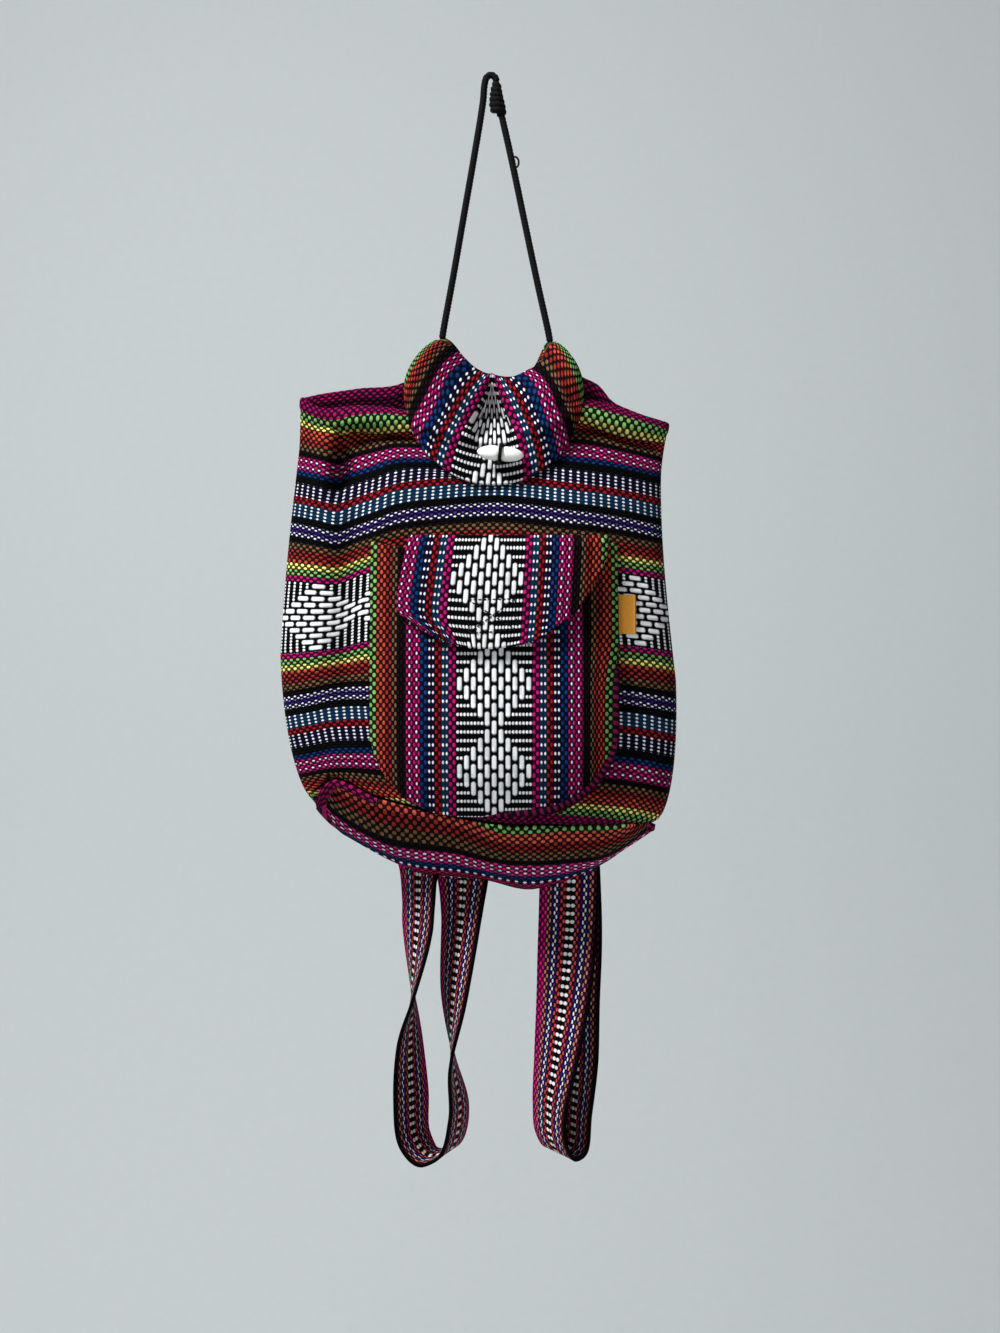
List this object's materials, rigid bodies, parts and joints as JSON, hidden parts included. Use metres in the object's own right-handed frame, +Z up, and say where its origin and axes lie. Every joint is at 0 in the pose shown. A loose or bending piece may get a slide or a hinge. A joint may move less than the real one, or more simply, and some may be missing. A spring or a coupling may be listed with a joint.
{
  "type": "drawstring backpack",
  "caption": "Small hand-woven striped cloth backpack hanging from its drawstring, with a collar-like top flap, a toggle, a flapped front pocket and looped shoulder straps.",
  "frame": {"origin": "the point that the drawstring hangs from, inside the bend at the top of the drawstring", "axes": "+Z up, +X to the right of someone facing the front pocket, +Y back towards what the bag hangs on"},
  "size_m": [0.2572, 0.1114, 0.723],
  "materials": {
    "woven_cloth": "coarse hand-woven striped cotton",
    "strap_webbing": "woven striped webbing",
    "cord": "black braided cord",
    "toggle": "smooth white",
    "tag": "plain yellow woven tape",
    "fastening": "black hook and loop tape"
  },
  "bodies": {
    "bag": {"body_panel": "woven_cloth", "base_panel": "woven_cloth", "top_flap": "woven_cloth", "pocket_panel": "woven_cloth", "pocket_flap": "woven_cloth", "pocket_loop_patch": "fastening", "pocket_hook_patch": "fastening", "label_tag": "tag", "drawstring_left": "cord", "drawstring_right": "cord", "drawstring_knot": "cord", "strap_left": "strap_webbing", "strap_right": "strap_webbing", "strap_right_front": "strap_webbing"},
    "toggle": {"toggle": "toggle", "toggle_cord": "cord"}
  },
  "joints": [
    {"name": "toggle_turn", "type": "hinge", "parent": "bag", "child": "toggle", "pos_m": [0.00685, -0.02161, -0.25445], "axis": [0, 0.9306, -0.3661], "range_deg": [-90, 90]}
  ]
}
